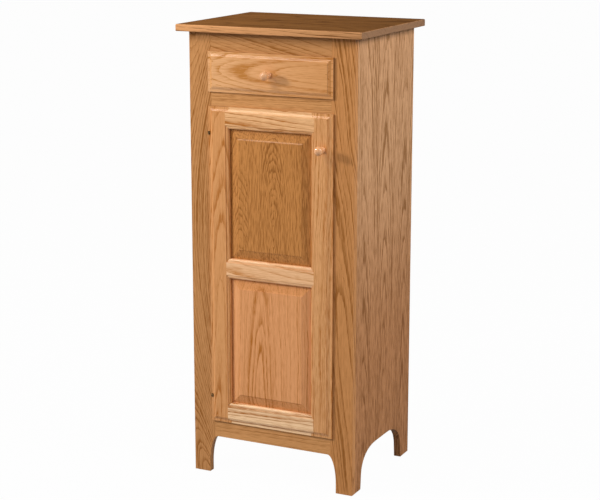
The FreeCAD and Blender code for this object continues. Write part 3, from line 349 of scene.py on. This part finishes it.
def staves(wires, given):
    """The place on one stave of a glued-up board, a seeded copy of it, and the stave's own tone."""
    along, across, through = wires.parts(given["Place"])
    count = wires.sum("FLOOR", wires.total(wires.sum("DIVIDE", across, given["Stave"]), 0.5))
    chance = wires.parts(wires.random(wires.total(wires.product(count, STAVE_SEED_STEP), given["Seed"])))
    moved = wires.sum("MINIMUM", wires.sum("ABSOLUTE", count), 1.0)
    across = wires.sum("SUBTRACT", across, wires.product(count, given["Stave"]))
    across = wires.total(across, wires.product(wires.swing(chance[0], STAVE_SHIFT_ACROSS), moved))
    along = wires.total(along, wires.product(wires.swing(chance[1], STAVE_SHIFT_ALONG), moved))
    seeds = wires.whole(given["Seed"], given["Seed"], wires.product(count, STAVE_DEPTH_STEP))
    seeded = wires.vector("ADD", wires.whole(along, across, through), seeds)
    return (along, across, through), seeded, wires.swing(chance[2], given["Stave Tone"])


def yearly_rings(wires, given, place, seeded):
    """How far each point is from the heart of the tree, counted in rings of uneven width."""
    along, across, through = place
    squared = wires.product(along, along)
    drift = wires.parts(wires.noise(seeded, DRIFT_A_METRE).outputs["Color"])
    slope = wires.total(wires.product(along, given["Taper"]), wires.product(squared, given["Bow"]))
    depth = wires.total(through, given["Heart Depth"], slope, wires.swing(drift[1], given["Wander"]))
    bend = wires.product(squared, given["Curve"])
    line = wires.total(given["Heart Across"], wires.product(along, given["Lean"]), bend)
    aside = wires.total(wires.sum("SUBTRACT", across, line), wires.swing(drift[0], given["Wander"]))
    reach = wires.sum("SQRT", wires.total(wires.product(depth, depth), wires.product(aside, aside)))
    ragged = wires.noise(seeded, RAGGED_A_METRE, FINE_DETAIL).outputs[0]
    reach = wires.total(reach, wires.swing(ragged, given["Ragged"]))
    rings = wires.total(wires.sum("DIVIDE", reach, given["Ring"]), given["Seed"])
    uneven = wires.add("ShaderNodeTexNoise", noise_dimensions="1D")
    wires.feed(uneven.inputs["W"], wires.product(rings, UNEVEN_RATE))
    uneven.inputs["Scale"].default_value = 1.0
    return wires.total(rings, wires.product(uneven.outputs[0], UNEVEN_REACH))


def ring_bands(wires, given, rings):
    """Dark early wood: a sharp start, a slow fade, and a strength of its own for each ring."""
    part = wires.sum("FRACT", rings)
    luck = wires.parts(wires.random(wires.sum("FLOOR", rings)))[0]
    rarity = wires.sum("SUBTRACT", 1.0, given["Share"])
    strength = wires.ramp(luck, wires.total(rarity, LUCK_BELOW), wires.total(rarity, LUCK_ABOVE))
    slow = wires.ramp(part, 0.0, NEXT_RING, SLOW_FADE, 0.0)
    quick = wires.ramp(part, QUICK_START, QUICK_END, QUICK_FADE, 0.0)
    band = wires.total(slow, quick, wires.ramp(part, NEXT_RING, 1.0))
    return wires.product(wires.sum("MINIMUM", band, 1.0), strength)


# %% [markdown]
# ## From rings to colour
# Dashes of pores and fine hairs lie along the grain and break the rings up. Together they give a shade
# between the pale and the dark tone of the board. End grain drinks more stain, and a bevel cut across the
# grain drinks a little more. Painted shade can darken a board's broad faces. Towards the low end of the
# grain, painted sheen pales some boards and painted shade darkens others. A soft step is written as where
# it starts and ends, and then, if not nought and one, what it goes from and to.

# %% Colour of the figure
PATCHES_A_METRE = (6.0, 45.0, 45.0)
STREAKS_A_METRE = (1.5, 55.0, 55.0)
PORES_A_METRE = (110.0, 1300.0, 1300.0)
HAIR_A_METRE = (3.0, 330.0, 330.0)
PORE_STEP = (0.52, 0.66)
DASH_BREAK = (0.30, 0.70, 0.55, 1.0)
PATCH_BREAK = (0.35, 0.65, 0.45, 1.0)
PORE_SHADE = (0.0, 1.0, 0.05, 0.15)
BASE_SHADE = 0.10
END_FACING = (0.55, 0.95)
PAINTED_SHADE_FACING = (0.80, 0.98)
CUT_FACING = (0.08, 0.35)
SHEEN_AND_SHADE_REACH = (-0.30, 0.35, 1.0, 0.0)
END_PORES = 0.5
END_SHARE = 0.8
WOOD_ROUGH = (0.0, 1.0, 0.42, 0.56)
END_ROUGH = 0.2
PORE_DEPTH = 1.6
RING_DEPTH = 0.5


def toned(wires, colour, where, tone):
    """The colour, multiplied by a tone where the tone belongs."""
    return wires.blend(where, colour, wires.blend(1.0, colour, tone, "MULTIPLY"))


def board_colour(wires, given, shade, pores):
    """The colour of a board from its shade, and one where the board shows its end grain."""
    facing = wires.parts(given["Facing"])
    across_cut = wires.sum("ABSOLUTE", facing[0])
    end = wires.ramp(across_cut, *END_FACING)
    # Painted shade on the broad faces; only the top board uses it, to darken its top.
    face = wires.ramp(wires.sum("ABSOLUTE", facing[2]), *PAINTED_SHADE_FACING)
    # Painted sheen and painted shade towards the low end of the grain: sheen on the top and the drawer
    # front, shade on the sides.
    foot = wires.ramp(wires.parts(given["Place"])[0], *SHEEN_AND_SHADE_REACH)
    cut = wires.ramp(across_cut, *CUT_FACING)
    colour = wires.blend(shade, given["Pale"], given["Dark"])
    for where, name in ((face, "Painted Face Shade"), (foot, "Foot Sheen And Shade"), (cut, "Cut Tone")):
        colour = toned(wires, colour, where, given[name])
    end_grain = wires.blend(wires.product(pores, END_PORES), given["End"], given["Dark"])
    return wires.blend(wires.product(end, END_SHARE), colour, end_grain), end


def oak_figure():
    """The node group that turns a place on a board into its colour, roughness and height."""
    tree = figure_group()
    wires = Wiring(tree)
    given = wires.add("NodeGroupInput").outputs
    place, seeded, stave_tone = staves(wires, given)
    band = ring_bands(wires, given, yearly_rings(wires, given, place, seeded))

    dash_rate = wires.sum("DIVIDE", 1.0, given["Dash Width"])
    dash_scale = wires.whole(wires.sum("DIVIDE", 1.0, given["Dash Length"]), dash_rate, dash_rate)
    dashes = wires.noise(seeded, dash_scale).outputs[0]
    patches = wires.noise(seeded, PATCHES_A_METRE).outputs[0]
    pores = wires.ramp(wires.noise(seeded, PORES_A_METRE).outputs[0], *PORE_STEP)
    streak = wires.noise(seeded, STREAKS_A_METRE, FINE_DETAIL).outputs[0]
    hair = wires.noise(seeded, HAIR_A_METRE).outputs[0]
    broken = wires.product(band, wires.ramp(dashes, *DASH_BREAK), wires.ramp(patches, *PATCH_BREAK))
    speckled = wires.product(pores, wires.ramp(band, *PORE_SHADE))
    shade = wires.total(wires.product(broken, given["Lines"]), speckled)
    shade = wires.total(shade, wires.swing(dashes, given["Dashes"]), wires.swing(hair, given["Hair"]))
    shade = wires.total(shade, wires.swing(streak, given["Streaks"]), stave_tone, BASE_SHADE)
    shade = wires.sum("MINIMUM", wires.sum("MAXIMUM", shade, 0.0), 1.0)
    colour, end = board_colour(wires, given, shade, pores)

    out = wires.add("NodeGroupOutput").inputs
    wires.feed(out["Colour"], colour)
    wires.feed(out["Rough"], wires.total(wires.ramp(shade, *WOOD_ROUGH), wires.product(end, END_ROUGH)))
    sunk = wires.total(wires.product(speckled, PORE_DEPTH), wires.product(broken, RING_DEPTH))
    wires.feed(out["Height"], wires.sum("SUBTRACT", 1.0, sunk))
    return tree


OAK_FIGURE = oak_figure()
print("oak figure nodes:", len(OAK_FIGURE.nodes))

# %% [markdown]
# ## Which way the grain runs
# Rails carry their grain level, stiles and panels upright, and the top from left to right. The figure is
# centred on the board and a Mapping node turns it that way, so that each number below is a distance on
# the board itself. The varnish is a thin coat over dull wood, so that the white room doesn't veil the
# colour.

# %% Grain ways and board finish
QUARTER = math.pi / 2
GRAIN_WAYS = {
    "upright": (QUARTER, 0.0, QUARTER),
    "level": (-QUARTER, 0.0, 0.0),
    "side": (0.0, QUARTER, 0.0),
    "deep": (-QUARTER, -QUARTER, 0.0),
    "runner": (0.0, 0.0, -QUARTER),
    "flat": (0.0, 0.0, 0.0),
}
GRAIN_DEPTH = 0.25 * MM
GRAIN_RELIEF = 0.5
DULL = 0.0
VARNISH = 0.30
VARNISH_ROUGH = 0.28


def principled(name):
    """A new material, its wiring, and its surface shader."""
    material = bpy.data.materials.new(name)
    material.use_nodes = True
    material.node_tree.nodes.clear()
    wires = Wiring(material.node_tree)
    shader = wires.add("ShaderNodeBsdfPrincipled")
    out = wires.add("ShaderNodeOutputMaterial")
    wires.feed(out.inputs["Surface"], shader.outputs[0])
    return material, wires, shader


def relief(wires, shader, height, strength, distance):
    """Let a height raise and sink the surface in the light."""
    bump = wires.add("ShaderNodeBump")
    bump.inputs["Strength"].default_value = strength
    bump.inputs["Distance"].default_value = distance
    wires.feed(bump.inputs["Height"], height)
    wires.feed(shader.inputs["Normal"], bump.outputs[0])


def board_place(wires, board, way):
    """The board's own coordinates, along, across and through it, and the way its surface faces."""
    from_object = wires.add("ShaderNodeTexCoord")
    low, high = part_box(board)
    centred = wires.vector("SUBTRACT", from_object.outputs["Object"], tuple((low + high) / 2))
    turned = []
    for source in (centred, from_object.outputs["Normal"]):
        mapping = wires.add("ShaderNodeMapping", vector_type="POINT")
        mapping.inputs["Rotation"].default_value = GRAIN_WAYS[way]
        wires.feed(mapping.inputs["Vector"], source)
        turned.append(mapping.outputs[0])
    return turned


def oak(board, way, varnish=VARNISH, varnish_rough=VARNISH_ROUGH, **figure):
    """Oak for one board: its grain way, its varnish, and what its figure does."""
    material, wires, shader = principled("oak_" + board)
    grain = wires.add("ShaderNodeGroup", node_tree=OAK_FIGURE)
    place, facing = board_place(wires, board, way)
    wires.feed(grain.inputs["Place"], place)
    wires.feed(grain.inputs["Facing"], facing)
    for name, value in figure.items():
        socket = grain.inputs[name.replace("_", " ").title()]
        socket.default_value = (*value, 1.0) if isinstance(value, tuple) else value
    relief(wires, shader, grain.outputs["Height"], GRAIN_RELIEF, GRAIN_DEPTH)
    wires.feed(shader.inputs["Base Color"], grain.outputs["Colour"])
    wires.feed(shader.inputs["Roughness"], grain.outputs["Rough"])
    shader.inputs["Specular IOR Level"].default_value = DULL
    shader.inputs["Coat Weight"].default_value = varnish
    shader.inputs["Coat Roughness"].default_value = varnish_rough
    return material


def dress(board, material):
    """Put one finish on every slot of a board that is already in the frame."""
    for slot in nodes[board].material_slots:
        slot.material = material


# %% [markdown]
# ## The boards that show
# Each board gets its own heart line and tones: arches on the panels, a flame lying on its side in the
# drawer front, slanted lines on the left stile, bold wavy ones on the right. Painted sheen makes the top
# and the drawer front paler towards the left, and painted shade darkens the top's broad faces. The sides
# go redder towards the floor, and painted shade darkens them there too.

# %% Boards that show
HONEY = (0.592, 0.280, 0.103)
GOLD = (0.86, 0.49, 0.230)
IVORY = (0.98, 0.655, 0.375)
FLAX = (0.75, 0.372, 0.146)
PEACH = (0.90, 0.532, 0.279)
BUFF = (0.67, 0.300, 0.096)
WHEAT = (0.68, 0.330, 0.123)
OCHRE = (0.545, 0.264, 0.110)
BROWN = (0.57, 0.240, 0.065)
ROSY = (0.79, 0.360, 0.150)
SAND = (0.64, 0.350, 0.178)
AMBER = (0.62, 0.277, 0.095)
TAN = (0.70, 0.325, 0.117)
TOBACCO = (0.30, 0.108, 0.020)
RUST = (0.43, 0.142, 0.018)
FOX = (0.55, 0.205, 0.040)
UMBER = (0.163, 0.060, 0.0154)
EARTH = (0.30, 0.135, 0.045)
# Painted shade that darkens the top board's broad faces.
TOP_PAINTED_SHADE = (0.405, 0.345, 0.216)
# Painted sheen that makes the top paler towards its left end.
TOP_LEFT_SHEEN = (1.32, 1.32, 1.32)
# Painted sheen: the drawer front paler and whiter towards its left end.
LEFT_SHEEN = (1.20, 1.45, 2.10)
TOP_END = (0.26, 0.155, 0.095)
# The sides towards the floor: painted shade that darkens them, and redder wood.
SIDE_FOOT_SHADE_AND_RED = (0.83, 0.69, 0.56)
CUT_DARK = (0.86, 0.80, 0.66)

CASE = dict(dark=TOBACCO, varnish=0.2)
FRONT = dict(dark=RUST, varnish=0.5, varnish_rough=0.18)
SIDE = dict(way="side", pale=SAND, dark=EARTH, stave=0.097, stave_tone=0.15, heart_depth=0.04,
            taper=0.06, ring=0.008, share=0.9, ragged=0.005, lines=1.9, dashes=2.2, dash_width=0.0026,
            dash_length=0.026, hair=1.4, foot_sheen_and_shade=SIDE_FOOT_SHADE_AND_RED, varnish=0.12)
SHOWN = {
    "top_board": dict(
        way="flat", pale=OCHRE, dark=UMBER, end=TOP_END, painted_face_shade=TOP_PAINTED_SHADE, foot_sheen_and_shade=TOP_LEFT_SHEEN,
        varnish=0.02, seed=1.0, stave=0.09, stave_tone=0.25, heart_depth=0.07, taper=0.05, ring=0.009,
        lines=1.1, dashes=1.3, dash_width=0.003, dash_length=0.04, streaks=0.9),
    "frame_stile_left": dict(
        CASE, way="upright", pale=HONEY, seed=23.9, heart_across=-0.084, lean=-0.02, curve=0.22,
        heart_depth=0.09, taper=0.03, bow=-0.118, ring=0.0045, share=0.9, wander=0.008, ragged=0.002,
        lines=1.5),
    "frame_stile_right": dict(
        CASE, way="upright", pale=AMBER, seed=62.3, heart_across=-0.015, lean=-0.12, heart_depth=0.03,
        taper=0.05, ring=0.009, share=0.85, wander=0.05, lines=1.2),
    "frame_top_rail": dict(
        CASE, way="level", pale=HONEY, seed=4.0, heart_across=-0.09, lean=-0.24, heart_depth=0.02,
        taper=0.0, ring=0.009, share=0.8, lines=1.35),
    "frame_middle_rail": dict(
        CASE, way="level", pale=WHEAT, seed=5.0, heart_across=-0.15, lean=0.04, heart_depth=0.04,
        ring=0.007, lines=0.7),
    "frame_bottom_rail": dict(
        CASE, way="level", pale=WHEAT, seed=6.0, heart_across=-0.15, lean=0.03, heart_depth=0.04,
        ring=0.007, lines=0.7),
    "drawer_front": dict(
        FRONT, way="level", pale=BUFF, foot_sheen_and_shade=LEFT_SHEEN, cut_tone=CUT_DARK, seed=42.4,
        heart_across=0.008, heart_depth=0.028, taper=-0.103, bow=0.15, ring=0.009, share=0.7,
        wander=0.015, lines=1.6),
    "door_stile_hinge": dict(
        FRONT, way="upright", pale=TAN, seed=75.5, heart_across=0.005, lean=0.05, heart_depth=0.045,
        taper=0.06, ring=0.010, share=0.8, wander=0.04, lines=1.3),
    "door_stile_knob": dict(
        FRONT, way="upright", pale=FLAX, seed=9.0, heart_across=0.12, lean=0.02, heart_depth=0.02,
        taper=0.0, ring=0.007, share=0.8, wander=0.05, lines=1.5, dashes=1.8),
    "door_top_rail": dict(
        FRONT, way="level", pale=GOLD, seed=10.0, heart_across=-0.05, lean=-0.06, heart_depth=0.02,
        taper=0.0, ring=0.010, share=0.7, wander=0.04, lines=1.3),
    "door_middle_rail": dict(
        FRONT | dict(dark=FOX), way="level", pale=PEACH, seed=11.0, heart_across=-0.07, lean=-0.14,
        curve=0.3, heart_depth=0.02, taper=0.0, ring=0.018, share=0.7, wander=0.03, lines=0.85),
    "door_bottom_rail": dict(
        FRONT, way="level", pale=IVORY, seed=12.0, heart_across=-0.08, lean=0.02, heart_depth=0.02,
        taper=0.0, ring=0.010, share=0.9, ragged=0.0015, lines=1.2),
    "door_panel_upper": dict(
        way="upright", pale=BROWN, dark=TOBACCO, seed=83.3, stave=0.13, heart_across=0.01,
        heart_depth=0.02, taper=0.16, ring=0.0035, share=0.85, wander=0.02, ragged=0.004, lines=1.5,
        dashes=3.1, dash_width=0.002),
    "door_panel_lower": dict(
        way="upright", pale=ROSY, dark=RUST, cut_tone=CUT_DARK, seed=91.0, heart_across=-0.03,
        heart_depth=0.025, taper=0.07, ring=0.010, share=0.65, wander=0.04, ragged=0.005, lines=1.2,
        dashes=1.3),
    "side_left": dict(SIDE, seed=15.0),
    "side_right": dict(SIDE, seed=101.0),
}
for board, figure in SHOWN.items():
    dress(board, oak(board, **figure))
print("boards that show:", len(SHOWN))

# %% [markdown]
# ## The turned knobs
# A knob is turned on a lathe: a small foot, a thin neck and a round head. The same is done here: half
# of its outline is drawn once and spun round the screw's axis, and a subdivision surface rounds the
# steps off. Each pair of numbers is a distance out from the front and a radius, in millimetres.

# %% Knobs
KNOB_OUTLINE = [
    (0.0, 0.0), (0.0, 3.5), (0.0, 6.8), (0.7, 7.8), (2.5, 8.2), (4.5, 8.0), (5.9, 7.0), (6.8, 5.7),
    (8.4, 4.8), (10.6, 4.6), (12.4, 5.2), (13.6, 6.6), (15.2, 8.6), (17.6, 10.4), (20.8, 11.7),
    (24.4, 12.1), (28.0, 11.8), (31.3, 10.3), (33.9, 7.7), (35.5, 4.6), (36.2, 1.6), (36.2, 0.0),
]
KNOB_STEPS = 28
KNOB_ROUNDING = 2
MERGE_WITHIN = 0.01 * MM
KNOB_TONE = (0.80, 0.41, 0.190)
KNOB_END = (0.76, 0.38, 0.175)
KNOB = dict(way="deep", pale=KNOB_TONE, dark=RUST, end=KNOB_END, ring=0.004, lines=0.3, varnish=1.0,
            varnish_rough=0.12)


def turned_knob(node, body):
    """A turned knob in the place of one node."""
    low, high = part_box(node)
    foot = Vector(((low.x + high.x) / 2, high.y, (low.z + high.z) / 2))
    mesh = bmesh.new()
    points = [mesh.verts.new(foot + Vector((radius * MM, -out * MM, 0.0))) for out, radius in KNOB_OUTLINE]
    edges = [mesh.edges.new(pair) for pair in zip(points, points[1:])]
    bmesh.ops.spin(mesh, geom=points + edges, cent=foot, axis=(0.0, 1.0, 0.0), angle=2 * math.pi,
                   steps=KNOB_STEPS, use_merge=True)
    bmesh.ops.remove_doubles(mesh, verts=mesh.verts, dist=MERGE_WITHIN)
    bmesh.ops.recalc_face_normals(mesh, faces=mesh.faces)
    for face in mesh.faces:
        face.smooth = True
    data = bpy.data.meshes.new("turned_" + node)
    mesh.to_mesh(data)
    mesh.free()
    knob = bpy.data.objects.new("turned_" + node, data)
    bpy.context.scene.collection.objects.link(knob)
    rounding = knob.modifiers.new("rounding", "SUBSURF")
    rounding.levels = KNOB_ROUNDING
    rounding.render_levels = KNOB_ROUNDING
    data.materials.append(oak(node, seed=len(node), **KNOB))
    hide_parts(node)
    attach(knob, body)
    print(knob.name, "faces:", len(data.polygons))


turned_knob("door_knob", "door")
turned_knob("drawer_knob", "drawer")

# %% [markdown]
# ## The boards inside
# Shelves, cleats and the drawer box only show when the cupboard is open. They are paler oak with a
# clear seal, and the thin back and drawer bottom are plywood, whose peeled veneer has wide wavy rings.
# The grain of such a board runs along its longest side, so its way is read from its box.

# %% Boards inside
BOARD_WAYS = {"xz": "flat", "xy": "level", "zy": "upright", "zx": "side", "yx": "deep", "yz": "runner"}
SEALED = dict(varnish=0.06, varnish_rough=0.4)
HIDDEN_BOARDS = {
    "oak_inside": dict(
        SEALED, pale=(0.60, 0.36, 0.175), dark=(0.30, 0.14, 0.050), end=(0.34, 0.20, 0.10), stave=0.11,
        stave_tone=0.12, ring=0.008, lines=0.5),
    "drawer_wood": dict(
        SEALED, pale=(0.70, 0.49, 0.28), dark=(0.42, 0.25, 0.11), end=(0.46, 0.30, 0.16), ring=0.007,
        lines=0.4),
    "plywood": dict(
        pale=(0.58, 0.36, 0.18), dark=(0.34, 0.18, 0.070), end=(0.36, 0.22, 0.12), heart_depth=0.10,
        taper=0.05, ring=0.020, share=0.9, wander=0.14, lines=0.5, varnish=0.04, varnish_rough=0.45),
}
FIRST_SEED = 20.0
slot_of = {part["node"]: part["material_slot"] for part in frame["record"]["subparts"]}


def long_way(board):
    """The grain way of a board whose grain runs along its longest side."""
    low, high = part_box(board)
    longest_last = sorted("xyz", key=lambda axis: getattr(high - low, axis))
    return BOARD_WAYS[longest_last[2] + longest_last[0]]


hidden = [board for board in nodes if slot_of[board] in HIDDEN_BOARDS]
for count, board in enumerate(hidden):
    dress(board, oak(board, long_way(board), seed=FIRST_SEED + count, **HIDDEN_BOARDS[slot_of[board]]))
print("boards inside:", {board: long_way(board) for board in hidden})

# %% [markdown]
# ## Metal, plastic and felt
# The hinges are old brass gone brown in patches, the screws and catch plates are dull zinc, the catch
# is moulded plastic and the bumpers are felt. All four are one recipe: two colours mixed by soft patches,
# a roughness that follows them, and a fine grain that gives the surface its tooth.

# %% Fittings
FITTINGS = {
    # The brass is brown patina in patches, and both colours are also darkened with painted shade for the
    # notch in the door's lip where each knuckle sits.
    "hinge_brass": dict(
        colours=((0.24, 0.145, 0.060), (0.09, 0.050, 0.022)), patch=220.0, tooth=2600.0,
        rough=(0.30, 0.55), metal=1.0, depth=0.05),
    "fastener_steel": dict(
        colours=((0.44, 0.43, 0.40), (0.26, 0.25, 0.24)), patch=320.0, tooth=3600.0,
        rough=(0.34, 0.55), metal=1.0, depth=0.03),
    "catch_plastic": dict(
        colours=((0.085, 0.045, 0.022), (0.065, 0.034, 0.017)), patch=160.0, tooth=2200.0,
        rough=(0.42, 0.55), metal=0.0, depth=0.06),
    "bumper_felt": dict(
        colours=((0.14, 0.082, 0.042), (0.070, 0.040, 0.020)), patch=900.0, tooth=2000.0,
        rough=(0.90, 1.0), metal=0.0, depth=0.35),
}
PATCH_STEP = (0.35, 0.65)
TOOTH_RELIEF = 0.4


def fitting(slot, colours, patch, tooth, rough, metal, depth):
    """A finish of two mixed colours with a fine tooth, for a metal, plastic or felt fitting."""
    material, wires, shader = principled(slot)
    place = wires.add("ShaderNodeTexCoord").outputs["Object"]
    patches = wires.ramp(wires.noise(place, (patch,) * 3, FINE_DETAIL).outputs[0], *PATCH_STEP)
    pale, dark = [(*colour, 1.0) for colour in colours]
    wires.feed(shader.inputs["Base Color"], wires.blend(patches, pale, dark))
    wires.feed(shader.inputs["Roughness"], wires.ramp(patches, 0.0, 1.0, *rough))
    shader.inputs["Metallic"].default_value = metal
    grain = wires.noise(place, (tooth,) * 3).outputs[0]
    relief(wires, shader, grain, TOOTH_RELIEF, depth * MM)
    return material


for slot, finish in FITTINGS.items():
    made = fitting(slot, **finish)
    worn_by = [node for node in nodes if slot_of[node] == slot]
    for node in worn_by:
        dress(node, made)
    print(slot, "on", len(worn_by), "nodes")
